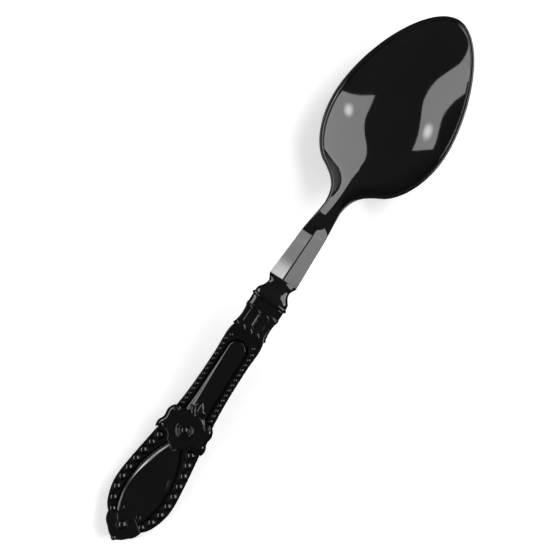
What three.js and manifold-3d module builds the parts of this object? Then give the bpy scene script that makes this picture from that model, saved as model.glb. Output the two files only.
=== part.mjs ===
// A dinner spoon with a plain bowl on a faceted shank and an ornate hollow handle: two beaded shells
// round a filler core, two inset panels, a rosette, an end finial, a fluted ferrule and a collar ring.
// Millimetres, +Z up, resting bowl up on z = 0. Stations run along +X from the tip of the handle.
import * as THREE from "three";
import { ParametricGeometry } from "three/addons/geometries/ParametricGeometry.js";
import { mergeVertices } from "three/addons/utils/BufferGeometryUtils.js";
import Module from "manifold-3d";

const wasm = await Module();
wasm.setup();

// ---- Driving dimensions ----

// Lengths along the spoon, from the tip of the handle to the tip of the bowl.
const finialLength = 6.7;
const teardropLength = 28.1;
const rosetteLength = 10.6;
const shaftLength = 29.9;
const bellLength = 7.8;
const bandLength = 2.9;
const collarThickness = 1.1;
const neckLength = 6.9;
const shankLength = 16.8;
const dropLength = 9.9;
const bowlLength = 68.7;

// Half-widths of the outline.
const finialHalf = 6.1;
const teardropHalf = 10.1;
const teardropTopHalf = 8.1;
const shaftFootHalf = 6.6;
const shaftHalf = 5.7;
const shoulderHalf = 5.45;
const bellHalf = 5.7;
const bellWaistHalf = 5.0;
const bandHalf = 5.4;
const collarHalf = 5.9;
const neckHalf = 5.35;
const scotiaHalf = 3.75;
const shankFootHalf = 4.8;
const shankTopHalf = 3.95;
const dropHalf = 2.95;
const bowlHalf = 19.9;

// Heights and thicknesses.
const bowlDepth = 7.3;
const bowlWall = 1.7;
const rimLip = 1.5;
const rimLand = 0.8;
const tipLift = 0.5;
const shankThickness = 4.3;
const shankEdge = 1.0;
const facetAngle = 25.5;
const handleRise = 11.1;
const teardropBack = 2.5;
const shaftBack = 3.1;
const teardropLedge = 1.8;
const shaftLedge = 2.7;
const roundness = 0.76;

// The hollow handle and what it holds.
const shellWall = 1.0;
const recessDepth = 0.6;
const recessSkin = 0.7;
const panelProud = 1.1;
const panelCrown = 0.4;
const grooveWidth = 0.9;
const teardropPanelMargin = 1.2;
const longPanelMargin = 0.9;
const longPanelSetback = 4.0;
const rosetteHalf = 8.6;
const rosetteProud = 2.1;
const petalLength = 2.3;
const leafLength = 5.2;
const leafHalf = 3.1;
const scrollHalf = 4.4;
const pegRadius = 1.5;
const pegLength = 0.8;
const bossRadius = 2.8;
const domeRadius = 1.4;
const tipBallRadius = 0.8;
const discRadius = 4.1;
const tangLength = 20;
const tangHalf = 2.1;
const tangThickness = 1.6;
const bellWall = 0.7;
const spigotLength = 5.6;
const tongueHalf = 3.0;
const tongueLength = 3.2;
const tongueThickness = 1.6;

// Beads: radius, distance of the row from the outline, and how many a side.
const bigBeadRadius = 1.2;
const bigBeadInset = 1.6;
const bigBeads = 9;
const smallBeadRadius = 0.78;
const smallBeadInset = 1.15;
const smallBeads = 15;

// The clearance kept wherever two pieces meet, and the finial's height off the table.
const fit = 0.3;
const footClearance = 0.15;

// ---- Stations, each where one zone ends and the next begins ----

const teardropAt = finialLength;
const rosetteAt = teardropAt + teardropLength;
const shaftAt = rosetteAt + rosetteLength;
const bellAt = shaftAt + shaftLength;
const bandAt = bellAt + bellLength;
const collarAt = bandAt + bandLength;
const neckAt = collarAt + collarThickness + 2 * fit;
const shankAt = neckAt + neckLength;
const dropAt = shankAt + shankLength;
const bowlAt = dropAt + dropLength;
const length = bowlAt + bowlLength;
const shellEnd = collarAt - spigotLength;
const spigotHalf = bellWaistHalf - bellWall - fit;

// ---- Curves ----

// A smooth curve of value against station, through a few [station, value] points.
function through(points) {
  const slopes = points.map((_, i) => {
    const [x0, y0] = points[Math.max(i - 1, 0)];
    const [x1, y1] = points[Math.min(i + 1, points.length - 1)];
    return (y1 - y0) / (x1 - x0);
  });
  return (x) => {
    if (x <= points[0][0]) return points[0][1];
    const i = points.findIndex(([px]) => x <= px);
    if (i < 0) return points.at(-1)[1];
    const [x0, y0] = points[i - 1];
    const [x1, y1] = points[i];
    const span = x1 - x0;
    const t = (x - x0) / span;
    const ease = t * t * (3 - 2 * t);
    const leave = t * (1 - t) ** 2 * span * slopes[i - 1];
    const arrive = t * t * (t - 1) * span * slopes[i];
    return y0 + (y1 - y0) * ease + leave + arrive;
  };
}

const between = (from, to, count) =>
  Array.from({ length: count }, (_, i) => from + ((to - from) * i) / (count - 1));

// Mid-plane of handle and shank: flat under the teardrop, then an S-curve up to the shank.
const riseFrom = teardropAt + teardropLength * 0.46;
const riseTo = shankAt + shankLength * 0.25;
const axisHeight = (s) =>
  teardropBack + handleRise * THREE.MathUtils.smoothstep(s, riseFrom, riseTo);

const handleHalf = through([
  [teardropAt, finialHalf],
  [teardropAt + 0.07 * teardropLength, finialHalf + 1.9],
  [teardropAt + 0.2 * teardropLength, teardropHalf - 0.6],
  [teardropAt + 0.37 * teardropLength, teardropHalf],
  [teardropAt + 0.62 * teardropLength, teardropHalf - 0.6],
  [rosetteAt, teardropTopHalf],
  [shaftAt, shaftFootHalf],
  [shaftAt + 0.27 * shaftLength, shaftHalf + 0.2],
  [shaftAt + 0.55 * shaftLength, shaftHalf],
  [shaftAt + 0.87 * shaftLength, shaftHalf + 0.2],
  [bellAt, shoulderHalf],
]);
const backDepth = through([
  [rosetteAt, teardropBack],
  [bellAt, shaftBack],
]);
const ledgeHeight = through([
  [teardropAt, teardropLedge],
  [rosetteAt, teardropLedge + 0.2],
  [bellAt, shaftLedge],
]);
const recessFloor = (s) => ledgeHeight(s) - recessDepth;
const cavityTop = (s) => recessFloor(s) - recessSkin;
const cavityHalf = (s) => handleHalf(s) - shellWall;

// ---- Solids ----

// Merges a geometry's vertices and drops the triangles that collapse.
function closed(geometry) {
  const bare = new THREE.BufferGeometry();
  bare.setAttribute("position", geometry.getAttribute("position"));
  if (geometry.index) bare.setIndex(geometry.index);
  const merged = mergeVertices(bare, 1e-4);
  const kept = [];
  for (let i = 0; i < merged.index.count; i += 3) {
    const [a, b, c] = [0, 1, 2].map((k) => merged.index.getX(i + k));
    if (a !== b && b !== c && c !== a) kept.push(a, b, c);
  }
  return merged.setIndex(kept);
}

function solid(geometry) {
  const { attributes, index } = closed(geometry);
  const vertProperties = new Float32Array(attributes.position.array);
  const triVerts = new Uint32Array(index.array);
  return new wasm.Manifold(new wasm.Mesh({ numProp: 3, vertProperties, triVerts }));
}

function geometryOf(manifold) {
  const { vertProperties, triVerts } = manifold.getMesh();
  const geometry = new THREE.BufferGeometry();
  geometry.setAttribute("position", new THREE.BufferAttribute(vertProperties, 3));
  return geometry.setIndex(new THREE.BufferAttribute(triVerts, 1));
}

const join = (first, ...others) => others.reduce((sum, other) => sum.add(other), first);
const cut = (first, ...others) => others.reduce((rest, other) => rest.subtract(other), first);

// A closed skin through rings of points. Each end is capped at the ring's centre unless it is a tip.
function loft(rings, { tip = false } = {}) {
  const cap = (ring) => {
    const centre = new THREE.Box3().setFromPoints(ring).getCenter(new THREE.Vector3());
    return ring.map(() => centre);
  };
  const all = [cap(rings[0]), ...rings, ...(tip ? [] : [cap(rings.at(-1))])];
  const count = rings[0].length;
  const point = (u, v, target) => {
    const ring = all[Math.round(v * (all.length - 1))];
    target.copy(ring[Math.round((1 - u) * count) % count]);
  };
  return new ParametricGeometry(point, count, all.length - 1);
}

// Lifts straight geometry on to the curved mid-plane.
function lifted(geometry) {
  const position = geometry.getAttribute("position");
  for (let i = 0; i < position.count; i++)
    position.setZ(i, position.getZ(i) + axisHeight(position.getX(i)));
  return geometry;
}

// A section's ring: its top from one edge to the other, then its underside back. The shares of the
// half-width that it is drawn at lie closer together at the edges.
function section(s, half, top, bottom, steps) {
  const shares = between(-Math.PI, 0, steps + 1).map((angle) => Math.cos(angle));
  const upper = shares.map((u) => new THREE.Vector3(s, u * half, top(u)));
  const lower = shares.map((u) => new THREE.Vector3(s, -u * half, bottom(-u)));
  return [...upper, ...lower];
}

function oval(s, half, height = half * roundness) {
  const round = (u) => height * Math.sqrt(Math.max(0, 1 - u * u));
  return section(s, half, round, (u) => -round(u), 12);
}

function slab(s, half, top, bottom) {
  return section(s, half, () => top, () => bottom, 1);
}

// A ring or sleeve turned about the spoon's axis and flattened to the handle's roundness.
function turned(profile, segments) {
  const points = profile.map(([s, radius]) => new THREE.Vector2(radius, s));
  points.push(points[0].clone());
  return new THREE.LatheGeometry(points, segments)
    .rotateZ(-Math.PI / 2)
    .scale(1, 1, roundness);
}

// A shape drawn as [station, side], raised from one height to another.
function raised(shape, from, to, bevel = 0) {
  return new THREE.ExtrudeGeometry(shape, {
    depth: to - from - 2 * bevel,
    bevelEnabled: bevel > 0,
    bevelThickness: bevel,
    bevelSize: bevel,
    bevelOffset: -bevel,
    bevelSegments: 2,
    curveSegments: 10,
  }).translate(0, 0, from + bevel);
}

// ---- The bowl, shank, neck and tang: one moulding ----

function bowlAndShank() {
  const edgeHeight = through([
    [shankAt, axisHeight(shankAt) + shankEdge / 2],
    [shankAt + 0.25 * shankLength, teardropBack + handleRise + shankEdge / 2],
    [dropAt, teardropBack + handleRise + shankEdge / 2],
    [bowlAt - 0.5 * dropLength, bowlDepth + bowlWall + 4.4],
    [bowlAt, bowlDepth + bowlWall + 3.2],
    [bowlAt + 0.12 * bowlLength, bowlDepth + bowlWall + 1.3],
    [bowlAt + 0.25 * bowlLength, bowlDepth + bowlWall + 0.3],
    [bowlAt + 0.45 * bowlLength, bowlDepth + bowlWall],
    [bowlAt + 0.75 * bowlLength, bowlDepth + bowlWall + 1.5],
    [length, bowlDepth + bowlWall + tipLift],
  ]);
  const keel = through([
    [dropAt, 0],
    [bowlAt - 0.4 * dropLength, 0.15],
    [bowlAt, 0.7],
    [bowlAt + 0.075 * bowlLength, 1.6],
    [bowlAt + 0.15 * bowlLength, 0.42 * bowlDepth],
    [bowlAt + 0.235 * bowlLength, 0.72 * bowlDepth],
    [bowlAt + 0.335 * bowlLength, 0.94 * bowlDepth],
    [bowlAt + 0.45 * bowlLength, bowlDepth],
    [bowlAt + 0.57 * bowlLength, 0.96 * bowlDepth],
    [bowlAt + 0.685 * bowlLength, 0.83 * bowlDepth],
    [bowlAt + 0.8 * bowlLength, 0.61 * bowlDepth],
    [bowlAt + 0.915 * bowlLength, 0.3 * bowlDepth],
    [length, 0],
  ]);
  const thickness = through([
    [dropAt, shankThickness],
    [bowlAt, 3.5],
    [bowlAt + 0.2 * bowlLength, bowlWall + 0.3],
    [bowlAt + 0.4 * bowlLength, bowlWall],
    [length, bowlWall],
  ]);
  const lip = through([
    [dropAt, shankEdge],
    [bowlAt + 0.2 * bowlLength, rimLip],
    [length, rimLip],
  ]);
  const land = through([
    [bowlAt - 0.5 * dropLength, 0],
    [bowlAt + 0.1 * bowlLength, rimLand],
    [length, rimLand],
  ]);
  const ridgeLeft = (s) => 1 - THREE.MathUtils.smoothstep(s, dropAt, dropAt + 0.65 * dropLength);
  const ridge = (s, half) => half * Math.tan(THREE.MathUtils.degToRad(facetAngle)) * ridgeLeft(s);

  // One section of shank or bowl: a gable where there is a ridge, a dish where there is a keel.
  const dished = (s, half) => {
    const inner = Math.max(half - land(s), 0.01);
    const top = (u) => {
      const v = Math.min(1, (Math.abs(u) * half) / inner);
      return edgeHeight(s) + ridge(s, half) * (1 - v) - keel(s) * (1 - v * v);
    };
    const belly = thickness(s) - lip(s) + keel(s) - ridge(s, half);
    return section(s, half, top, (u) => edgeHeight(s) - lip(s) - belly * (1 - u * u), 12);
  };

  const lift = (ring) => ring.map((p) => p.clone().setZ(p.z + axisHeight(p.x)));
  const tang = between(shellEnd + fit - tangLength, shellEnd + fit + 1, 7)
    .map((s) => lift(slab(s, tangHalf, tangThickness / 2, -tangThickness / 2)));
  const spigot = between(shellEnd + fit, neckAt, 3).map((s) => lift(oval(s, spigotHalf)));
  const neckProfile = [
    [0, neckHalf],
    [0.2, neckHalf],
    [0.3, neckHalf - 0.4],
    [0.42, scotiaHalf + 0.3],
    [0.6, scotiaHalf],
    [0.78, scotiaHalf + 0.3],
    [0.9, shankFootHalf - 0.3],
  ];
  const neck = neckProfile.map(([share, half]) => lift(oval(neckAt + share * neckLength, half)));
  const shank = between(shankAt, dropAt, 5).map((s) =>
    dished(s, THREE.MathUtils.mapLinear(s, shankAt, dropAt, shankFootHalf, shankTopHalf)));
  const dropOutline = through([[dropAt, shankTopHalf], [dropAt + 0.5 * dropLength, 3.3], [bowlAt, dropHalf]]);
  const drop = between(dropAt, bowlAt, 7).slice(1).map((s) => dished(s, dropOutline(s)));

  // The bowl's outline in three curves: out of the neck, over the shoulder, and on to the tip.
  const shoulder = new THREE.Vector2(bowlAt + 0.16 * bowlLength, 0.54 * bowlHalf);
  const widest = new THREE.Vector2(bowlAt + 0.46 * bowlLength, bowlHalf);
  const at = (x, y) => new THREE.Vector2(x, y);
  const outlines = [
    [new THREE.CubicBezierCurve(at(bowlAt, dropHalf), at(bowlAt + 6.7, dropHalf + 0.35),
      at(shoulder.x - 2.5, shoulder.y - 4.45), shoulder), 7],
    [new THREE.CubicBezierCurve(shoulder, at(shoulder.x + 2.2, shoulder.y + 3.95),
      at(widest.x - 11, bowlHalf), widest), 8],
    [new THREE.CubicBezierCurve(widest, at(widest.x + 14.5, bowlHalf),
      at(length, 0.5 * bowlHalf), at(length, 0)), 12],
  ];
  const bowl = outlines.flatMap(([curve, count]) =>
    curve.getPoints(count).slice(1).map((p) => dished(p.x, p.y)));
  const head = loft([...spigot, ...neck, ...shank, ...drop, ...bowl], { tip: true });
  return geometryOf(join(solid(head), solid(loft(tang))));
}

// ---- What joins head and handle ----

function collarRing() {
  const bore = spigotHalf + fit;
  const half = collarThickness / 2;
  const middle = collarAt + fit + half;
  return lifted(turned([
    [middle - half, bore],
    [middle - half, collarHalf - 0.5],
    [middle - 0.45 * half, collarHalf - 0.1],
    [middle, collarHalf],
    [middle + 0.45 * half, collarHalf - 0.1],
    [middle + half, collarHalf - 0.5],
    [middle + half, bore],
  ], 36));
}

function flutedFerrule() {
  const bore = spigotHalf + fit;
  const mouth = bellAt + fit;
  const sleeve = lifted(turned([
    [mouth, bore],
    [mouth, bellHalf],
    [mouth + 0.22 * bellLength, THREE.MathUtils.lerp(bellWaistHalf, bellHalf, 0.35)],
    [mouth + 0.5 * bellLength, bellWaistHalf],
    [mouth + 0.76 * bellLength, THREE.MathUtils.lerp(bellWaistHalf, bellHalf, 0.35)],
    [bandAt - 0.2, bellHalf],
    [bandAt, bandHalf],
    [collarAt, bandHalf],
    [collarAt, (bandHalf + bore) / 2],
    [collarAt, bore],
    [bandAt, bore],
    [mouth + 0.5 * bellLength, bore],
  ], 36));
  // Three reeds lie along the waist, on the front and on the back.
  const reeds = [-1, 1].flatMap((face) => [-0.6, 0, 0.6].map((share) => {
    const height = face * bellWaistHalf * roundness * Math.sqrt(1 - share * share);
    return solid(lifted(new THREE.CapsuleGeometry(0.45, 0.45 * bellLength, 2, 6)
      .rotateZ(Math.PI / 2)
      .translate(mouth + 0.5 * bellLength, share * bellWaistHalf, height)));
  }));
  return geometryOf(join(solid(sleeve), ...reeds));
}

// ---- The two inset panels ----

// Each panel keeps its margin to the beads beside it. The teardrop narrows towards the rosette.
const narrowing = through([
  [teardropAt + 0.62 * teardropLength, 1],
  [teardropAt + 0.8 * teardropLength, 0.78],
  [rosetteAt - 0.5, 0.46],
]);
const teardropPanelHalf = (s) =>
  (handleHalf(s) - bigBeadInset - bigBeadRadius - teardropPanelMargin) * narrowing(s);
const longPanelHalf = (s) => handleHalf(s) - smallBeadInset - smallBeadRadius - longPanelMargin;
const longPanelEnd = bellAt - longPanelSetback;
const longPanelRadius = longPanelHalf(longPanelEnd);
const roundFrom = longPanelEnd - longPanelRadius;
const teardropPanelStations = between(teardropAt + 1.5, rosetteAt - 0.5, 13);
const longPanelStations = between(shaftAt + 0.5, roundFrom, 9);

// The rounded far end of the long panel, as [station, half-width] on a quarter circle.
const longPanelRound = between(0, Math.PI / 2, 7).slice(1, -1).map((angle) => [
  roundFrom + longPanelRadius * Math.sin(angle),
  longPanelHalf(roundFrom) * Math.cos(angle),
]);

// Panel sections grown on all sides by a margin, for the panel (0) or for the room it needs.
function panel(outline, margin) {
  return loft(outline.map(([s, half], i) => {
    const end = i === 0 ? -margin : i === outline.length - 1 ? margin : 0;
    const floor = recessFloor(s) + fit - margin;
    const edge = ledgeHeight(s) + panelProud + margin;
    return section(s + end, half + margin, (u) => edge + panelCrown * (1 - u * u), () => floor, 6);
  }));
}
const outlineOf = (stations, halves) => stations.map((s) => [s, halves(s)]);
const teardropOutline = outlineOf(teardropPanelStations, teardropPanelHalf);
const longOutline = [...outlineOf(longPanelStations, longPanelHalf), ...longPanelRound];

// The finial's round disc, which the teardrop's foot and the shells are cut back from.
const discAt = finialLength + 2 - discRadius;
function disc(radius, from, to) {
  return new THREE.CylinderGeometry(radius, radius, to - from, 32)
    .rotateX(Math.PI / 2)
    .translate(discAt, 0, (from + to) / 2);
}

const teardropPanel = () =>
  geometryOf(cut(solid(lifted(panel(teardropOutline, 0))), solid(lifted(disc(discRadius + fit, -9, 9)))));
const longPanel = () => lifted(panel(longOutline, 0));

// ---- The handle's shells and core ----

// The tang's slot, as wide and thick as the tang with a sliding fit round it.
function tangRoom() {
  const stations = between(shellEnd - tangLength, shellEnd + spigotLength, 8);
  return solid(lifted(loft(stations.map((s) =>
    slab(s, tangHalf + fit, tangThickness / 2 + fit, -tangThickness / 2 - fit)))));
}

// Recess half-width at a station: a panel and the groove round it, or nothing where there is no panel.
function recessHalf(s) {
  const past = Math.max(0, s - roundFrom);
  const round = Math.sqrt(Math.max(0, (longPanelHalf(roundFrom) + grooveWidth) ** 2 - past ** 2));
  if (s < rosetteAt) return teardropPanelHalf(Math.min(s, rosetteAt - 0.5)) + grooveWidth;
  return past > 0 ? round : longPanelHalf(s) + grooveWidth;
}
const recessSpans = [
  [teardropAt + 1, rosetteAt - 0.2, 13],
  [shaftAt + 0.2, longPanelEnd + grooveWidth - 0.1, 16],
];

// A shell's solid sections, from its seam face to its outer face; side is 1 for the front.
function shellBody(side) {
  const outer = side > 0 ? ledgeHeight : backDepth;
  const ring = (s) => {
    const half = handleHalf(s);
    const shape = (u) => {
      const fromEdge = (1 - Math.abs(u)) * half;
      const corner = side > 0 ? 0.5 : 1.6;
      const rounding = Math.sqrt(Math.max(0, 1 - (1 - Math.min(1, fromEdge / corner)) ** 2));
      return fit / 2 + (outer(s) - fit / 2) * (0.35 + 0.65 * rounding);
    };
    const face = (u) => side * shape(u);
    const seam = () => (side * fit) / 2;
    return side > 0 ? section(s, half, face, seam, 8) : section(s, half, seam, face, 8);
  };
  const stations = [...between(teardropAt, rosetteAt, 13), ...between(rosetteAt, bellAt, 17).slice(1)];
  const spigot = between(bellAt, shellEnd, 3).map((s) => {
    const round = (u) => side * Math.max(fit / 2 + 0.1, spigotHalf * roundness * Math.sqrt(1 - u * u));
    const seam = () => (side * fit) / 2;
    return side > 0
      ? section(s, spigotHalf, round, seam, 8)
      : section(s, spigotHalf, seam, round, 8);
  });
  return solid(lifted(loft([...stations.map(ring), ...spigot])));
}

// The half of the tongue that enters the finial.
function tongue(side) {
  const [low, high] = side > 0 ? [fit / 2, tongueThickness / 2] : [-tongueThickness / 2, -fit / 2];
  const stations = [teardropAt - tongueLength, discAt + discRadius + 1.2];
  return solid(lifted(loft(stations.map((s) => slab(s, tongueHalf, high, low)))));
}

// The room inside a shell, where the core lies.
const cavityFrom = teardropAt + 4.2;
const cavityTo = bellAt - 2.2;
const cavityStations = [
  ...between(cavityFrom, rosetteAt, 9),
  ...between(rosetteAt, cavityTo, 10).slice(1),
];
const cavityBottom = (s) => -(backDepth(s) - shellWall);
const cavity = () => solid(lifted(loft(cavityStations.map((s) =>
  slab(s, cavityHalf(s), cavityTop(s), cavityBottom(s))))));

// Two rows of domes on the front's ledge, one along each edge. The big ones turn in at both ends.
function beadRow(from, to, count, radius, sideAt) {
  return between(from, to, count).flatMap((s) => [-1, 1].map((side) =>
    solid(new THREE.SphereGeometry(radius, 8, 5)
      .rotateX(Math.PI / 2)
      .translate(s, side * sideAt(s), ledgeHeight(s) + axisHeight(s)))));
}
const bigBeadsFrom = teardropAt + bigBeadRadius + 0.1;
const bigBeadsTo = rosetteAt - 0.5;
const turnIn = through([
  [bigBeadsFrom, 0.5],
  [bigBeadsFrom + 3.5, 0],
  [bigBeadsTo - 3.5, 0],
  [bigBeadsTo, 0.6],
]);
const bigBeadSide = (s) => handleHalf(s) - bigBeadInset - turnIn(s);
const smallBeadSide = (s) => handleHalf(s) - smallBeadInset;

const bigBeadRow = (radius) => beadRow(bigBeadsFrom, bigBeadsTo, bigBeads, radius, bigBeadSide);
const smallBeadRow = (radius) =>
  beadRow(shaftAt + 1.2, bellAt - 3.3, smallBeads, radius, smallBeadSide);

function frontShell() {
  const recesses = recessSpans.map(([from, to, count]) =>
    solid(lifted(loft(between(from, to, count).map((s) => slab(s, recessHalf(s), 9, recessFloor(s)))))));
  const peg = solid(lifted(new THREE.CylinderGeometry(pegRadius + fit, pegRadius + fit, 4, 16)
    .rotateX(Math.PI / 2)
    .translate(rosetteMiddle, 0, ledgeHeight(rosetteMiddle) - pegLength - fit + 2)));
  const shell = cut(shellBody(1), ...recesses, solid(lifted(disc(discRadius + fit, -9, 9))), cavity(), peg);
  const big = bigBeadRow(bigBeadRadius);
  const small = smallBeadRow(smallBeadRadius);
  return geometryOf(cut(join(shell, ...big, ...small, tongue(1)), tangRoom(), underFerrule()));
}

// Keeps the last beads clear of the ferrule's mouth.
function underFerrule() {
  return solid(lifted(turned([
    [bellAt, spigotHalf + fit],
    [bellAt, bellHalf + 1],
    [collarAt, bellHalf + 1],
    [collarAt, spigotHalf + fit],
  ], 24)));
}

function backShell() {
  const shell = cut(shellBody(-1), solid(lifted(disc(discRadius + fit, -9, 9))), cavity());
  return geometryOf(cut(join(shell, tongue(-1)), tangRoom()));
}

function handleCore() {
  const core = solid(lifted(loft(cavityStations.map((s) => {
    const inset = s === cavityFrom ? fit : s === cavityTo ? -fit : 0;
    return slab(s + inset, cavityHalf(s) - fit, cavityTop(s) - fit, cavityBottom(s) + fit);
  }))));
  return geometryOf(cut(core, tangRoom()));
}

// ---- The rosette and the end finial ----

const rosetteMiddle = rosetteAt + 0.49 * rosetteLength;

// The rosette's outline, one side drawn from the petal's tip to the leaf's tip and then mirrored. A
// round notch goes past the last big bead, and then come two lobes, a scroll and the leaf.
function rosetteShape() {
  const bead = { s: bigBeadsTo, w: bigBeadSide(bigBeadsTo) };
  const notchRadius = bigBeadRadius + fit + 1.1;
  const notchFrom = -0.95;
  const notchTo = 0.75;
  const at = (share) => rosetteAt + share * rosetteLength;
  const side = new THREE.Path();
  side.moveTo(rosetteAt - petalLength, 0);
  const arc = (angle) => [bead.s + notchRadius * Math.cos(angle), bead.w + notchRadius * Math.sin(angle)];
  side.quadraticCurveTo(rosetteAt - 0.6 * petalLength, 0.22 * rosetteHalf, ...arc(notchFrom));
  side.absarc(bead.s, bead.w, notchRadius, notchFrom, notchTo, false);
  side.bezierCurveTo(
    at(0.26), 1.02 * rosetteHalf, at(0.36),
    1.03 * rosetteHalf, at(0.42), 0.93 * rosetteHalf,
  );
  side.quadraticCurveTo(at(0.5), 0.85 * rosetteHalf, at(0.58), 0.9 * rosetteHalf);
  side.bezierCurveTo(
    at(0.7), 0.97 * rosetteHalf, at(0.88),
    0.9 * rosetteHalf, at(0.96), 0.74 * rosetteHalf,
  );
  side.quadraticCurveTo(at(1.04), 0.6 * rosetteHalf, at(0.97), scrollHalf);
  side.quadraticCurveTo(
    shaftAt + 0.1 * leafLength, 0.9 * scrollHalf,
    shaftAt + 0.38 * leafLength, leafHalf,
  );
  side.quadraticCurveTo(
    shaftAt + 0.24 * leafLength, 0.62 * leafHalf,
    shaftAt + 0.5 * leafLength, 0.55 * leafHalf,
  );
  side.quadraticCurveTo(shaftAt + 0.8 * leafLength, 0.48 * leafHalf, shaftAt + leafLength, 0);
  const points = side.getPoints(7);
  const mirrored = points.slice(1, -1).reverse().map((p) => new THREE.Vector2(p.x, -p.y));
  return new THREE.Shape([...points, ...mirrored]);
}

function rosette() {
  const base = ledgeHeight(rosetteMiddle);
  const top = base + rosetteProud;
  const onAxis = (geometry, height) => geometry.rotateX(Math.PI / 2).translate(rosetteMiddle, 0, height);
  const plate = solid(lifted(raised(rosetteShape(), base + fit, top, 0.3)));
  const boss = solid(lifted(onAxis(new THREE.CylinderGeometry(bossRadius - 0.3, bossRadius, 1.6, 28), top)));
  const bead = solid(lifted(onAxis(new THREE.SphereGeometry(1.1, 12, 8), top + 0.8)));
  const peg = solid(lifted(onAxis(new THREE.CylinderGeometry(pegRadius, pegRadius, 2, 16),
    base - pegLength + 1)));
  const rooms = [teardropOutline, longOutline].map((outline) => solid(lifted(panel(outline, fit))));
  // The shaft's first beads stand beside the leaf, and keep air round them.
  const beadRooms = [
    ...bigBeadRow(bigBeadRadius + fit).slice(-4),
    ...smallBeadRow(smallBeadRadius + fit).slice(0, 4),
  ];
  return geometryOf(cut(join(plate, boss, bead, peg), ...rooms, ...beadRooms));
}

function finialShape() {
  const side = new THREE.Path();
  side.moveTo(tipBallRadius, 0.5);
  side.quadraticCurveTo(0.24 * finialLength, 0.44 * finialHalf, 0.4 * finialLength, 0.57 * finialHalf);
  side.bezierCurveTo(0.52 * finialLength, 0.82 * finialHalf, 0.7 * finialLength, 0.95 * finialHalf,
    finialLength - fit, finialHalf - 0.1);
  const points = side.getPoints(6);
  const mirrored = points.reverse().map((p) => new THREE.Vector2(p.x, -p.y));
  points.reverse();
  return new THREE.Shape([...points, ...mirrored]);
}

function endFinial() {
  const bottom = footClearance - teardropBack;
  const top = teardropLedge + 0.5;
  const body = solid(lifted(raised(finialShape(), bottom, top, 0.4)));
  const round = solid(lifted(disc(discRadius, bottom + 0.3, top + 0.4)));
  const dome = solid(new THREE.SphereGeometry(domeRadius, 16, 10)
    .translate(discAt + 0.3, 0, axisHeight(discAt) + top + 0.4));
  const ball = solid(new THREE.SphereGeometry(tipBallRadius, 12, 8)
    .rotateX(Math.PI / 2)
    .translate(tipBallRadius, 0, axisHeight(0)));
  const room = solid(lifted(loft([teardropAt - tongueLength - fit, teardropAt + 2].map((s) =>
    slab(s, tongueHalf + fit, tongueThickness / 2 + fit, -tongueThickness / 2 - fit)))));
  return geometryOf(cut(join(body, round, dome, ball), room));
}

// ---- The assembly ----

const gloss = (color) => new THREE.MeshStandardMaterial({ color, roughness: 0.12, metalness: 0 });
const pieces = [
  ["bowl_and_shank", bowlAndShank, gloss(0x141415)],
  ["collar_ring", collarRing, gloss(0x121213)],
  ["fluted_ferrule", flutedFerrule, gloss(0x121213)],
  ["handle_front_shell", frontShell, gloss(0x111112)],
  ["handle_back_shell", backShell, gloss(0x111112)],
  ["handle_core", handleCore, gloss(0x2a2a2c)],
  ["teardrop_panel", teardropPanel, gloss(0x131314)],
  ["long_panel", longPanel, gloss(0x131314)],
  ["rosette", rosette, gloss(0x121213)],
  ["end_finial", endFinial, gloss(0x121213)],
];

const spoon = new THREE.Group();
spoon.position.x = -length / 2;
for (const [name, make, material] of pieces) {
  const mesh = new THREE.Mesh(make(), material);
  mesh.name = name;
  spoon.add(mesh);
}

const root = new THREE.Group();
root.add(spoon);
export default root;
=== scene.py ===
import math

import bpy
import numpy as np
from mathutils import Matrix, Vector
from mathutils.geometry import delaunay_2d_cdt


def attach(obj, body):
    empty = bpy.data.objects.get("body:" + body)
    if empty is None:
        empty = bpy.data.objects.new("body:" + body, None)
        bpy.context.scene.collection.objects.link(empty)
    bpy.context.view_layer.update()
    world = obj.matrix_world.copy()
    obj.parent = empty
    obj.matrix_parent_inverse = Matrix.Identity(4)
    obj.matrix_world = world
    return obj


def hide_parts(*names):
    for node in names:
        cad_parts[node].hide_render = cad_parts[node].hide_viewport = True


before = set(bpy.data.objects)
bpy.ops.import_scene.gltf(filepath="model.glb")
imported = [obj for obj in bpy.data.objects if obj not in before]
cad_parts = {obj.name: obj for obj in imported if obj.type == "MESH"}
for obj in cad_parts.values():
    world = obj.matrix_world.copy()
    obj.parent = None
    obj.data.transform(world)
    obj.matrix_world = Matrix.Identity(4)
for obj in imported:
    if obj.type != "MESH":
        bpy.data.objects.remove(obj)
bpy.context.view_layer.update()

# ---- Bowl, shank and neck ----
# The head of the spoon is one injection moulding in polished black plastic: a pointed oval bowl, a
# shank with two flat facets meeting in a ridge, and a turned neck that ends against the ring. Its
# tang runs back inside the handle. Sizes are in millimetres from the tip of the handle.
LENGTH = 190.0
SHANK_FROM, SHANK_TO, BOWL_FROM = 94.2, 110.9, 120.5
SHANK_HALF_FROM, SHANK_HALF_TO, DROP_HALF, BOWL_HALF = 4.73, 3.93, 2.95, 19.62
FACET_SLOPE = 25.5


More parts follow.
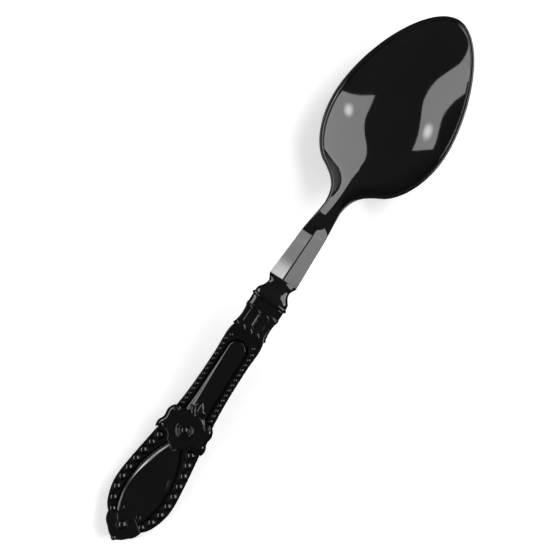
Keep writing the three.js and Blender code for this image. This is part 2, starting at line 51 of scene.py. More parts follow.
def fair(*points):
    """A curve of value against station through a few points, with no jump in its bend."""
    x, y = np.array(points, float).T
    gap = np.diff(x)
    rows = np.eye(len(x))
    right = np.zeros(len(x))
    for i in range(1, len(x) - 1):
        rows[i, i - 1 : i + 2] = gap[i - 1], 2 * (gap[i - 1] + gap[i]), gap[i]
        right[i] = 6 * ((y[i + 1] - y[i]) / gap[i] - (y[i] - y[i - 1]) / gap[i - 1])
    bend = np.linalg.solve(rows, right)

    def value(s):
        s = np.clip(s, x[0], x[-1])
        i = np.clip(np.searchsorted(x, s) - 1, 0, len(gap) - 1)
        before, after, g = x[i + 1] - s, s - x[i], gap[i]
        cubic = (bend[i] * before**3 + bend[i + 1] * after**3) / (6 * g)
        return (cubic + (y[i] / g - bend[i] * g / 6) * before
                + (y[i + 1] / g - bend[i + 1] * g / 6) * after)

    return value


def eased(s, low, high):
    t = np.clip((np.asarray(s, float) - low) / (high - low), 0, 1)
    return t * t * (3 - 2 * t)


def spine(s):
    """Height of the mid-plane of handle and shank: level under the wide end, then an S-curve."""
    return 2.5 + 11.1 * eased(s, 19.6, 98.8)


CORNER_POWER = 26


def section(angle, half, flat=0.70, chamfer=1.0):
    """Points (side, height) of the flat-topped oval that the neck, ring and ferrule share."""
    lean = math.radians(28)
    out = np.stack([np.sin(angle), np.cos(angle)])
    corner = chamfer * (0.69 * math.sin(lean) + flat * math.cos(lean))
    faces = [((0, 1), flat), ((1, 0), 1.0), ((math.sin(lean), math.cos(lean)), corner)]
    total = 0
    for (x, z), reach in faces:
        for flip_x in ((1, -1) if x else (1,)):
            for flip_z in ((1, -1) if z else (1,)):
                towards_face = np.maximum(0, x * flip_x * out[0] + z * flip_z * out[1])
                total = total + (towards_face / reach) ** CORNER_POWER
    return out * half * total ** (-1 / CORNER_POWER)


def bezier(a, b, c, d, count):
    t = np.linspace(0, 1, count + 1)[1:, None]
    a, b, c, d = (np.array(p, float) for p in (a, b, c, d))
    return (1 - t) ** 3 * a + 3 * (1 - t) ** 2 * t * b + 3 * (1 - t) * t**2 * c + t**3 * d


def faced_and_smoothed(degrees):
    """Turns the faces of the piece in edit mode outwards, and smooths its edges below an angle."""
    bpy.ops.mesh.select_all(action="SELECT")
    bpy.ops.mesh.normals_make_consistent(inside=False)
    bpy.ops.object.mode_set(mode="OBJECT")
    bpy.ops.object.shade_smooth_by_angle(angle=math.radians(degrees))


def rolled(name, rings, merge=0.002):
    """A flat sheet of quads laid through rings of points, in millimetres, and closed on itself."""
    rings = np.asarray(rings, float)
    count, around = rings.shape[:2]
    bpy.ops.object.select_all(action="DESELECT")
    bpy.ops.mesh.primitive_grid_add(x_subdivisions=count - 1, y_subdivisions=around, size=2)
    piece = bpy.context.object
    piece.name = piece.data.name = name
    flat = np.zeros(len(piece.data.vertices) * 3)
    piece.data.vertices.foreach_get("co", flat)
    flat = flat.reshape(-1, 3)
    i = np.rint((flat[:, 0] + 1) / 2 * (count - 1)).astype(int)
    j = np.rint((flat[:, 1] + 1) / 2 * around).astype(int) % around
    moved = rings[i, j] - (LENGTH / 2, 0, 0)
    piece.data.vertices.foreach_set("co", (moved / 1000).ravel())
    bpy.ops.object.mode_set(mode="EDIT")
    bpy.ops.mesh.select_all(action="SELECT")
    bpy.ops.mesh.remove_doubles(threshold=merge / 1000)
    bpy.ops.mesh.dissolve_degenerate(threshold=merge / 4000)
    bpy.ops.mesh.select_all(action="SELECT")
    bpy.ops.mesh.fill_holes(sides=0)
    faced_and_smoothed(50)
    return piece


def both_sides(half):
    """A whole ring from its +Y half, which runs from the middle of the top to that of the bottom."""
    half = np.asarray(half, float)
    return np.vstack([half, half[-2:0:-1] * (1, -1, 1)])


rim_height = fair((94.2, 13.99), (98.8, 14.1), (106, 14.1), (111.4, 14.1), (116.3, 13.4),
                  (121.3, 12.07), (129.5, 10.17), (138.5, 9.49), (152, 9.0), (172.8, 10.56),
                  (190, 9.53))
keel_depth = fair((94.2, 0), (105, 0), (110, 0.01), (116, 0.1), (121.3, 0.77), (126.5, 2.08),
                  (131.6, 3.81), (137.4, 5.49), (144.3, 7.06), (152.2, 7.5), (160.5, 7.7),
                  (168.4, 6.27), (176.3, 3.88), (184.2, 1.59), (190, 0))
fullness = fair((94.2, 2.0), (116, 2.06), (130, 1.75), (145, 1.96), (160, 1.69), (175, 1.68),
                (190, 1.93))
middle_thickness = fair((94.2, 4.3), (111.4, 4.3), (121.3, 3.5), (135, 1.9), (150, 1.36), (165, 1.4),
                        (190, 1.6))
edge_thickness = fair((94.2, 1.0), (111.4, 1.0), (123, 1.35), (135, 1.5), (190, 1.5))
lip_width = fair((94.2, 0.12), (110, 0.12), (116, 0.4), (124, 0.85), (132, 1.1), (190, 1.1))
ACROSS = np.array([0, 0.01, 0.025, 0.05, 0.09, 0.14, 0.2, 0.27, 0.34, 0.41, 0.48, 0.55, 0.62, 0.69,
                   0.76, 0.82, 0.88, 0.93, 0.97, 1])


def head_outline():
    shank = [(s, np.interp(s, (SHANK_FROM, SHANK_TO), (SHANK_HALF_FROM, SHANK_HALF_TO)))
             for s in (SHANK_FROM, 94.24, 94.34, 94.6, *np.linspace(95.2, SHANK_TO, 14))]
    drop = fair((SHANK_TO, SHANK_HALF_TO), (113.5, 3.66), (117.1, 3.25), (BOWL_FROM, DROP_HALF))
    neck = [(s, drop(s)) for s in np.linspace(SHANK_TO, BOWL_FROM, 18)[1:]]
    shoulder, widest = (131.45, 10.75), (152.4, BOWL_HALF)
    return np.vstack([
        shank, neck,
        bezier((BOWL_FROM, DROP_HALF), (127.2, 3.3), (128.95, 6.3), shoulder, 26),
        bezier(shoulder, (133.65, 14.7), (141.3, BOWL_HALF), widest, 34),
        bezier(widest, (167.4, BOWL_HALF), (LENGTH, 9.95), (LENGTH, 0), 60),
    ])


def head_ring(at, outward):
    """One half ring: the dished or ridged top, the rounded lip, the side wall and the underside."""
    lip, edge = float(lip_width(at[0])), float(edge_thickness(at[0]))
    inner = at - outward * lip
    facet = 1 - float(eased(at[0], SHANK_TO, 114.6))
    ridge = at[1] * math.tan(math.radians(FACET_SLOPE)) * facet
    keel, rim = float(keel_depth(inner[0])), float(rim_height(inner[0]))
    blunt = 0.03
    soft = (np.sqrt(ACROSS**2 + blunt**2) - blunt) / (math.sqrt(1 + blunt**2) - blunt)
    power = float(fullness(inner[0]))
    top = rim + ridge * (1 - soft) - keel * (1 - ACROSS**power)
    points = [(inner[0], inner[1] * v, z) for v, z in zip(ACROSS, top)]
    for angle in np.radians((168, 156, 144, 132, 118, 104, 90, 76, 62, 48, 36, 24, 12, 0)):
        p = at - outward * lip * (0.5 - 0.5 * math.cos(angle))
        points.append((*p, rim + 0.34 * lip * math.sin(angle)))
    under = min(0.45, 0.3 * edge)
    for share in (0.25, 0.55, 0.8):
        points.append((*(at - outward * 0.04 * share), rim - share * (edge - under)))
    for angle in np.radians((15, 35, 60, 90)):
        p = at - outward * (0.04 + under * (1 - math.cos(angle)))
        points.append((*p, rim - edge + under * (1 - math.sin(angle))))
    outer = np.array(points[-1][:2])
    belly = float(middle_thickness(outer[0])) - edge + keel - ridge
    for v in (0.96, 0.91, 0.85, 0.78, 0.7, 0.61, 0.52, 0.43, 0.34, 0.25, 0.16, 0.08, 0):
        points.append((outer[0], outer[1] * v, rim - edge - belly * (1 - v**power)))
    points = np.array(points)
    points[:, 1] = np.maximum(points[:, 1], 0)
    return points


def head_rings():
    outline = head_outline()
    along = np.gradient(np.vstack([outline, outline[-2] * (1, -1)]), axis=0)[:-1]
    outward = np.stack([-along[:, 1], along[:, 0]], axis=1)
    outward /= np.linalg.norm(outward, axis=1)[:, None]
    outward[-1] = (1, 0)
    rings = [head_ring(p, n) for p, n in zip(outline, outward)]
    # The turned neck takes its spacing round the oval from the first ring of the shank.
    first = rings[0]
    middle = float(spine(SHANK_FROM))
    angles = np.arctan2(first[:, 1] / SHANK_HALF_FROM, (first[:, 2] - middle) / 3.2)
    half = fair((86.6, 5.3), (88.2, 5.3), (88.95, 4.98), (89.8, 4.35), (90.7, 3.9), (91.55, 3.68),
                (92.3, 3.8), (93.2, 4.36), (93.95, 4.82))
    neck = []
    for s in (86.6, 87.15, 87.6, 88.0, 88.3, 88.6, 88.85, 89.1, 89.4, 89.7, 90.0, 90.3, 90.6, 90.9,
              91.25, 91.6, 91.95, 92.3, 92.6, 92.9, 93.2, 93.5, 93.75, 94.0, 94.12):
        w, blend = float(half(s)), float(eased(s, 92.6, 94.15)) * 0.6
        across, up = section(angles, w)
        oval = np.stack([np.full(len(angles), s), across, up + float(spine(s))], axis=1)
        gable = first.copy()
        gable[:, 0] = s
        gable[:, 1] *= w / SHANK_HALF_FROM
        gable[:, 2] += float(spine(s)) - middle
        neck.append(oval * (1 - blend) + gable * blend)
    return [both_sides(r) for r in neck + rings]


bowl = rolled("bowl_and_shank_moulding", head_rings())


def group(name, inputs, outputs):
    """A shader node group with named inputs (name, kind, default) and outputs (name, kind)."""
    tree = bpy.data.node_groups.new(name, "ShaderNodeTree")
    for label, kind, value in inputs:
        socket = tree.interface.new_socket(label, in_out="INPUT", socket_type="NodeSocket" + kind)
        socket.default_value = value
    for label, kind in outputs:
        tree.interface.new_socket(label, in_out="OUTPUT", socket_type="NodeSocket" + kind)
    return tree, tree.nodes.new("NodeGroupInput"), tree.nodes.new("NodeGroupOutput")


def wired(tree, kind, settings=None, **inputs):
    """A node with its settings, and its inputs set to values or linked from sockets."""
    node = tree.nodes.new("ShaderNode" + kind)
    for key, value in (settings or {}).items():
        setattr(node, key, value)
    for key, value in inputs.items():
        socket = node.inputs[int(key[2:])] if key.startswith("in") and key[2:].isdigit() \
            else node.inputs[key.replace("_", " ")]
        if isinstance(value, bpy.types.NodeSocket):
            tree.links.new(value, socket)
        else:
            socket.default_value = value
    return node


def maths(tree, operation, first, second):
    """The result of one maths node."""
    return wired(tree, "Math", {"operation": operation}, in0=first, in1=second).outputs[0]


def moulding_tone_group():
    """Near-black pigment that clouds a little from place to place, with rare pale dust specks."""
    tree, start, end = group(
        "moulding_tone",
        [("Coordinates", "Vector", (0, 0, 0)), ("Dark", "Color", (0.004, 0.004, 0.004, 1)),
         ("Light", "Color", (0.008, 0.008, 0.008, 1)), ("Dust", "Float", 0.3)],
        [("Color", "Color")])
    clouds = wired(tree, "TexNoise", Vector=start.outputs["Coordinates"], Scale=90.0, Detail=4.0)
    spread = wired(tree, "MapRange", Value=clouds.outputs["Fac"], From_Min=0.35, From_Max=0.68)
    pigment = wired(tree, "Mix", {"data_type": "RGBA"}, in0=spread.outputs["Result"],
                    in6=start.outputs["Dark"], in7=start.outputs["Light"])
    cells = wired(tree, "TexVoronoi", Vector=start.outputs["Coordinates"], Scale=420.0)
    speck = wired(tree, "MapRange", Value=cells.outputs["Distance"], From_Min=0.05, From_Max=0.02)
    rare = wired(tree, "TexNoise", Vector=start.outputs["Coordinates"], Scale=260.0, Detail=0.0)
    seldom = wired(tree, "MapRange", Value=rare.outputs["Fac"], From_Min=0.66, From_Max=0.72)
    both = maths(tree, "MULTIPLY", speck.outputs["Result"], seldom.outputs["Result"])
    amount = maths(tree, "MULTIPLY", both, start.outputs["Dust"])
    dusty = wired(tree, "Mix", {"data_type": "RGBA"}, in0=amount, in6=pigment.outputs[2],
                  in7=(0.2, 0.2, 0.21, 1))
    tree.links.new(dusty.outputs[2], end.inputs["Color"])
    return tree


def moulding_sheen_group():
    """Roughness left by a polished mould: low, hazier in clouds and along fine wipe marks."""
    tree, start, end = group(
        "moulding_sheen",
        [("Coordinates", "Vector", (0, 0, 0)), ("Polish", "Float", 0.07), ("Haze", "Float", 0.05),
         ("Wipe marks", "Float", 0.04)],
        [("Roughness", "Float")])
    clouds = wired(tree, "TexNoise", Vector=start.outputs["Coordinates"], Scale=55.0, Detail=5.0)
    haze = maths(tree, "MULTIPLY", clouds.outputs["Fac"], start.outputs["Haze"])
    lengthwise = wired(tree, "Mapping", Vector=start.outputs["Coordinates"], Scale=(60, 1400, 900))
    wipe = wired(tree, "TexNoise", Vector=lengthwise.outputs[0], Scale=1.0, Detail=3.0)
    fine = wired(tree, "MapRange", Value=wipe.outputs["Fac"], From_Min=0.56, From_Max=0.74)
    marks = maths(tree, "MULTIPLY", fine.outputs["Result"], start.outputs["Wipe marks"])
    total = maths(tree, "ADD", haze, marks)
    rough = maths(tree, "ADD", total, start.outputs["Polish"])
    tree.links.new(rough, end.inputs["Roughness"])
    return tree


def moulding_skin_group():
    """Surface height in metres: slow sink waves, flow lines along the spoon and a faint orange peel."""
    tree, start, end = group(
        "moulding_skin",
        [("Coordinates", "Vector", (0, 0, 0)), ("Sink", "Float", 6e-6), ("Flow", "Float", 2e-6),
         ("Peel", "Float", 4e-7)],
        [("Height", "Float")])
    sink = wired(tree, "TexNoise", Vector=start.outputs["Coordinates"], Scale=120.0, Detail=1.0)
    lines = wired(tree, "Mapping", Vector=start.outputs["Coordinates"], Scale=(90, 520, 300))
    flow = wired(tree, "TexNoise", Vector=lines.outputs[0], Scale=1.0, Detail=2.0)
    peel = wired(tree, "TexNoise", Vector=start.outputs["Coordinates"], Scale=2600.0, Detail=1.0)
    parts = [maths(tree, "MULTIPLY", noise.outputs["Fac"], start.outputs[label])
             for noise, label in ((sink, "Sink"), (flow, "Flow"), (peel, "Peel"))]
    height = maths(tree, "ADD", maths(tree, "ADD", parts[0], parts[1]), parts[2])
    tree.links.new(height, end.inputs["Height"])
    return tree


TONE, SHEEN, SKIN = moulding_tone_group(), moulding_sheen_group(), moulding_skin_group()


def black_moulding(name, dark, light, polish, haze, marks, dust, sink, flow, peel, ior=1.5):
    """A glossy black moulded plastic with its own pigment, polish and skin."""
    material = bpy.data.materials.new(name)
    material.use_nodes = True
    tree = material.node_tree
    shader = tree.nodes["Principled BSDF"]
    shader.inputs["IOR"].default_value = ior
    place = wired(tree, "TexCoord").outputs["Object"]

    def use(shared, **values):
        node = wired(tree, "Group", {"node_tree": shared})
        tree.links.new(place, node.inputs["Coordinates"])
        for key, value in values.items():
            node.inputs[key.replace("_", " ")].default_value = value
        return node

    tone = use(TONE, Dark=(*dark, 1), Light=(*light, 1), Dust=dust)
    sheen = use(SHEEN, Polish=polish, Haze=haze, Wipe_marks=marks)
    skin = use(SKIN, Sink=sink, Flow=flow, Peel=peel)
    bump = wired(tree, "Bump", Strength=1.0, Distance=1.0, Height=skin.outputs["Height"])
    tree.links.new(tone.outputs["Color"], shader.inputs["Base Color"])
    tree.links.new(sheen.outputs["Roughness"], shader.inputs["Roughness"])
    tree.links.new(bump.outputs["Normal"], shader.inputs["Normal"])
    return material


def finished(piece, material, slot, *nodes):
    """Gives a piece its material and its place on the spoon, and hides the CAD nodes it stands for. The
    slot argument is not used.
    """
    piece.data.materials.clear()
    piece.data.materials.append(material)
    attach(piece, "root")
    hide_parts(*nodes)


bowl_black = black_moulding("polished_black_bowl", (0.0030, 0.0030, 0.0031), (0.0042, 0.0042, 0.0044),
                            polish=0.035, haze=0.035, marks=0.03, dust=0.25,
                            sink=2.2e-5, flow=3.5e-6, peel=1.2e-7)
finished(bowl, bowl_black, "bowl_black", "bowl_and_shank")

# ---- Collar ring ----
# The thin turned ring between neck and ferrule, a rounded bead of black plastic slipped over the
# spigot and bonded to the faces on each side.
RING_FROM, RING_TO, RING_HALF, SPIGOT_HALF = 85.95, 87.1, 5.82, 4.3


def turned(name, profile, segments=128):
    """A ring of edges, extruded and resized from step to step, and bridged back to its start."""
    bpy.ops.object.select_all(action="DESELECT")
    (s, half), *steps = profile
    bpy.ops.mesh.primitive_circle_add(
        vertices=segments, radius=half / 1000, rotation=(0, math.pi / 2, 0),
        location=((s - LENGTH / 2) / 1000, 0, float(spine(s)) / 1000))
    piece = bpy.context.object
    piece.name = piece.data.name = name
    bpy.ops.object.transform_apply(location=True, rotation=True, scale=True)
    bpy.ops.object.mode_set(mode="EDIT")
    bpy.ops.mesh.select_all(action="SELECT")
    bpy.ops.object.mode_set(mode="OBJECT")
    for vertex in piece.data.vertices:
        offset = vertex.co.z - float(spine(s)) / 1000
        across, up = section(np.array([math.atan2(vertex.co.y, offset)]), half)
        vertex.co.y, vertex.co.z = across[0] / 1000, (up[0] + float(spine(s))) / 1000
    bpy.ops.object.mode_set(mode="EDIT")
    bpy.ops.mesh.select_all(action="SELECT")
    for next_s, next_half in steps:
        rise = float(spine(next_s) - spine(s))
        bpy.ops.mesh.extrude_region_move(
            TRANSFORM_OT_translate={"value": ((next_s - s) / 1000, 0, rise / 1000)})
        bpy.ops.transform.resize(value=(1, next_half / half, next_half / half))
        s, half = next_s, next_half
    bpy.ops.mesh.select_all(action="DESELECT")
    bpy.ops.mesh.select_non_manifold()
    bpy.ops.mesh.bridge_edge_loops()
    faced_and_smoothed(40)
    return piece


ring_profile = [(RING_FROM, SPIGOT_HALF), (RING_FROM, 5.2)]
for turn in np.radians(np.linspace(-80, 80, 13)):
    ring_profile.append(((RING_FROM + RING_TO) / 2 + (RING_TO - RING_FROM) / 2 * math.sin(turn),
                         RING_HALF - 0.5 + 0.5 * math.cos(turn)))
ring_profile += [(RING_TO, 5.2), (RING_TO, SPIGOT_HALF)]
collar = turned("collar_ring_bead", ring_profile)
trim_black = black_moulding("black_trim", (0.0012, 0.0012, 0.0013), (0.0022, 0.0022, 0.0023),
                            polish=0.028, haze=0.03, marks=0.02, dust=0.3,
                            sink=3e-6, flow=8e-7, peel=1.5e-7)
finished(collar, trim_black, "trim_black", "collar_ring")

# ---- Fluted ferrule ----
# A waisted black sleeve over the end of the handle. Three reeds run along each face of the waist,
# with an arch between them at the band, and a ring of small gadroons makes the lip.
LIP_FROM, WAIST, BAND_FROM = 75.3, 79.4, 83.1
REED_GAP, REED_RISE, REED_WIDTH = 2.95, 0.2, 0.27
GADROON_GAP, GADROON_RISE, ARCH_RISE, FOOT_RISE = 2.44, 0.17, 0.1, 0.07
OUT_OF_REACH = 9.0
bell_half = fair((LIP_FROM, 5.45), (75.9, 5.33), (76.8, 5.14), (77.8, 5.0), (79.4, 4.93), (80.6, 4.98),
                 (81.6, 5.15), (82.4, 5.36), (82.95, 5.52))
ferrule_flat = fair((LIP_FROM, 0.81), (77.5, 0.765), (79.5, 0.71), (82, 0.63), (83.2, 0.62),
                    (84.2, 0.65), (86, 0.69))


def hump(x, width):
    return np.exp(-((x / width) ** 2))


def ferrule_ring(s, half):
    angle = np.linspace(0, 2 * math.pi, 640, endpoint=False)
    boxy = 1 + 0.2 * float(1 - eased(s, 82.0, 83.0))
    across, up = section(angle, half, float(ferrule_flat(s)), boxy)
    # Distance round the section from the middle of the top or of the bottom, whichever is nearer.
    steps = np.hypot(np.diff(across, append=across[0]), np.diff(up, append=up[0]))
    round_it = np.concatenate([[0], np.cumsum(steps)[:-1]])
    whole = steps.sum()
    q = np.abs((round_it + whole / 4) % (whole / 2) - whole / 4)
    from_reed = np.abs((q + REED_GAP / 2) % REED_GAP - REED_GAP / 2)
    from_reed = np.where(q < 1.5 * REED_GAP, from_reed, OUT_OF_REACH)
    midway = REED_GAP / 2
    from_arch = np.minimum(midway, np.abs((q % REED_GAP) - midway))
    along_reed = float(eased(s, 77.2, 78.0) * (1 - eased(s, 81.2, 81.9)))
    lobe = np.abs(np.cos(math.pi * q / GADROON_GAP)) ** 0.7
    reach = 75.35 + 0.95 * lobe
    gadroon = (GADROON_RISE * lobe + 0.02) * (1 - eased(s, reach, reach + 0.4))
    arch_line = 82.1 + 0.6 * (1 - (from_arch / midway) ** 2)
    arch = ARCH_RISE * hump(s - arch_line, 0.18) if s < BAND_FROM else 0
    low_arch = 76.9 + 0.5 * (from_arch / midway) ** 2
    foot = FOOT_RISE * hump(s - low_arch, 0.16) if s < WAIST else 0
    rise = REED_RISE * hump(from_reed, REED_WIDTH) * along_reed + gadroon + arch + foot
    scale = 1 + rise / np.hypot(across, up)
    return np.stack([np.full(len(angle), s), across * scale, up * scale + float(spine(s))], axis=1)


bell_stations = np.concatenate([[LIP_FROM], np.linspace(75.34, 78.2, 40), np.linspace(78.35, 81.3, 16),
                                np.linspace(81.38, 82.95, 26)])
rings = [ferrule_ring(LIP_FROM, SPIGOT_HALF), ferrule_ring(LIP_FROM, 5.05)]
rings += [ferrule_ring(s, float(bell_half(s))) for s in bell_stations]
rings += [ferrule_ring(s, half) for s, half in (
    (83.02, 5.6), (83.1, 5.58), (83.16, 5.46), (83.22, 5.36), (83.4, 5.34), (84.5, 5.34),
    (85.6, 5.34), (85.8, 5.32), (85.88, 5.26), (85.92, 5.1), (85.92, SPIGOT_HALF))]
ferrule = rolled("fluted_ferrule_sleeve", rings + rings[:1])
finished(ferrule, trim_black, "trim_black", "fluted_ferrule")

# ---- Handle core ----
# The dull filler that the tang is bedded in. It lies wholly inside the shells, so it keeps its CAD
# solid and has a dry, slightly porous finish.
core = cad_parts["handle_core"]
core_dark = black_moulding("dull_core_filler", (0.018, 0.018, 0.019), (0.032, 0.031, 0.030),
                           polish=0.6, haze=0.25, marks=0.05, dust=0.6,
                           sink=2e-5, flow=1e-5, peel=6e-6)
core.data.materials.clear()
core.data.materials.append(core_dark)

# ---- Back shell ----
# The plain back half of the hollow handle, moulded in black plastic with a broad rounded edge. It is
# flat under the wide end, where the spoon rests, and bonded to the front along the outline.
handle_half = fair((6.75, 6.25), (7.6, 7.05), (9.2, 8.1), (11.0, 8.85), (12.8, 9.42), (14.9, 9.85),
                   (17.6, 10.02), (20.2, 9.9), (23.8, 9.5), (27.5, 9.03), (31.1, 8.52), (34.8, 7.98),
                   (40.0, 7.15), (45.4, 6.52), (48.0, 6.24), (51.2, 6.0), (56, 5.76), (62, 5.64),
                   (66.5, 5.66), (70.5, 5.84), (72.4, 5.86), (73.8, 5.7), (75.3, 5.3))
ledge_height = fair((6.7, 1.75), (20, 1.8), (35, 2.0), (55, 2.4), (75.3, 2.7))
handle_stations = np.concatenate([np.linspace(6.75, 9.6, 16), np.linspace(9.9, 34, 76),
                                  np.linspace(34.3, 46, 26), np.linspace(46.3, 68.3, 66),
                                  np.linspace(68.5, 75.4, 44)])


def back_ring(s):
    half, deep, middle = float(handle_half(s)), np.interp(s, (34.8, 75.3), (2.5, 3.1)), spine(s)
    points = [(s, half * v, -0.012) for v in (0, 0.3, 0.6, 0.85, 0.97)]
    points += [(s, half - 0.03, -0.02), (s, half, -0.05)]
    broad = min(2.6, 0.45 * half)
    for angle in np.radians(np.linspace(8, 90, 12)):
        points.append((s, half - broad * (1 - math.cos(angle)),
                       -0.05 - (deep - 0.05) * math.sin(angle)))
    points += [(s, (half - broad) * v, -deep) for v in (0.8, 0.55, 0.3, 0)]
    return both_sides(np.array(points) + (0, 0, float(middle)))


back = rolled("handle_back_half", [back_ring(s) for s in handle_stations])
handle_black = black_moulding("black_handle", (0.0008, 0.0008, 0.0009), (0.0017, 0.0017, 0.0018),
                              polish=0.028, haze=0.03, marks=0.025, dust=0.35,
                              sink=4e-6, flow=1e-6, peel=2e-7)
finished(back, handle_black, "handle_black", "handle_back_shell")

# ---- Front shell ----
# The decorated front half of the handle in black plastic: a raised border with a rounded edge, a row
# of beads along each side, big round the wide end and small along the shaft, and a sunk field in
# the middle that takes the two panels.
PANEL_END = 71.55
teardrop_half = fair((8.4, 3.85), (9.3, 4.25), (12.2, 5.08), (15.2, 5.68), (18.3, 5.9), (21.3, 5.84),
                     (24.4, 5.5), (27.4, 4.82), (30.5, 3.76), (34.1, 2.15), (35.4, 1.65))
PANEL_ROUND = 2.75
long_half = fair((44.5, 3.42), (47, 3.24), (50.3, 3.05), (57, 2.9), (64, 2.8), (69, 2.75), (72, 2.75))


def field_half(s):
    """Half-width of the sunk field: the panel beside it and the groove between them."""
    if s < 35:
        return float(teardrop_half(s)) + 0.75
    if s < 44.5:
        return float(np.interp(s, (35, 44.5), (2.7, 4.4)))
    round_from = PANEL_END - PANEL_ROUND
    past = max(0.0, s - round_from)
    return math.sqrt(max(0.0, (float(long_half(s)) + 0.75) ** 2 - past**2))


def front_ring(s):
    half, ledge, field = float(handle_half(s)), float(ledge_height(s)), field_half(s)
    floor = ledge - 0.6 * float(eased(field, 0.0, 1.6))
    points = [(0, floor), (field * 0.35, floor), (field * 0.7, floor), (field * 0.86, floor)]
    wall = min(0.4, 0.4 * field)
    for turn in np.radians((-90, -60, -30, 0, 30, 60, 90)):
        points.append((field - wall * 0.5 + wall * 0.5 * math.sin(turn),
                       (floor + ledge) / 2 + (ledge - floor) / 2 * math.sin(turn)))
    bound = min(0.24, 0.2 * half)
    for v in (0.2, 0.45, 0.7, 0.9):
        points.append((field + (half - bound - field) * v, ledge + 0.03 * math.sin(math.pi * v)))
    for angle in np.radians(np.linspace(90, 4, 12)):
        points.append((half - bound * (1 - math.cos(angle)), 0.05 + (ledge - 0.05) * math.sin(angle)))
    points += [(half, 0.04), (half - 0.03, 0.012)]
    points += [(half * v, 0.012) for v in (0.97, 0.85, 0.6, 0.3, 0)]
    points = np.array(points)
    points = np.column_stack([np.full(len(points), s), points])
    return both_sides(points + (0, 0, float(spine(s))))


front = rolled("handle_front_half", [front_ring(s) for s in handle_stations])


def bead(name, s, w, radius, sunk, rings=20):
    """One round bead, a sphere sunk in the border so that a shallow dome stands out of it."""
    bpy.ops.object.select_all(action="DESELECT")
    height = float(spine(s) + ledge_height(s)) + 0.06 - sunk
    bpy.ops.mesh.primitive_uv_sphere_add(
        segments=2 * rings, ring_count=rings, radius=radius / 1000,
        location=((s - LENGTH / 2) / 1000, w / 1000, height / 1000))
    dome = bpy.context.object
    dome.name = dome.data.name = name
    bpy.ops.object.transform_apply(location=True, rotation=True, scale=True)
    bpy.ops.object.mode_set(mode="EDIT")
    bpy.ops.mesh.select_all(action="SELECT")
    floor = (height + sunk - 0.55) / 1000
    bpy.ops.mesh.bisect(plane_co=(0, 0, floor), plane_no=(0, 0, 1), use_fill=True, clear_inner=True)
    bpy.ops.object.mode_set(mode="OBJECT")
    bpy.ops.object.shade_smooth_by_angle(angle=math.radians(50))
    return dome


def joined(target, extras):
    bpy.ops.object.select_all(action="DESELECT")
    for extra in extras:
        extra.select_set(True)
    target.select_set(True)
    bpy.context.view_layer.objects.active = target
    bpy.ops.object.join()
    return target


big_side = fair((7.92, 5.21), (10.85, 6.92), (14.2, 7.96), (17.65, 8.34), (21.06, 8.23), (24.5, 7.94),
                (27.9, 7.41), (31.24, 6.63), (34.44, 5.72))
BIG_STATIONS = (8.02, 11.0, 14.35, 17.75, 21.16, 24.65, 28.05, 31.45, 34.65)
small_inset = fair((46.7, 1.2), (54.9, 1.08), (61, 1.0), (66, 1.03), (70.2, 1.1))
BIG_RADII = (1.3, 1.48, 1.48, 1.48, 1.48, 1.48, 1.48, 1.48, 1.58)
BIG_SUNK, SMALL_RADIUS, SMALL_SUNK = 0.5, 0.7, 0.1
beads = []
for side in (-1, 1):
    for i, (s, radius) in enumerate(zip(BIG_STATIONS, BIG_RADII)):
        beads.append(bead(f"big_bead_{side}_{i}", s, side * float(big_side(s)), radius, BIG_SUNK))
    for i, s in enumerate(np.linspace(46.7, 70.2, 14)):
        w = side * (float(handle_half(s)) - float(small_inset(s)))
        beads.append(bead(f"small_bead_{side}_{i}", s, w, SMALL_RADIUS, SMALL_SUNK, rings=14))
    beads.append(bead(f"last_bead_{side}", 72.0, side * 3.95, 0.72, 0.12, rings=14))
front = joined(front, beads)
finished(front, handle_black, "handle_black", "handle_front_shell")

# ---- Teardrop panel ----
# A domed black panel let into the wide end of the handle, with a small rounded shoulder where it
# meets the groove and a tiny scroll in each corner beside the finial.


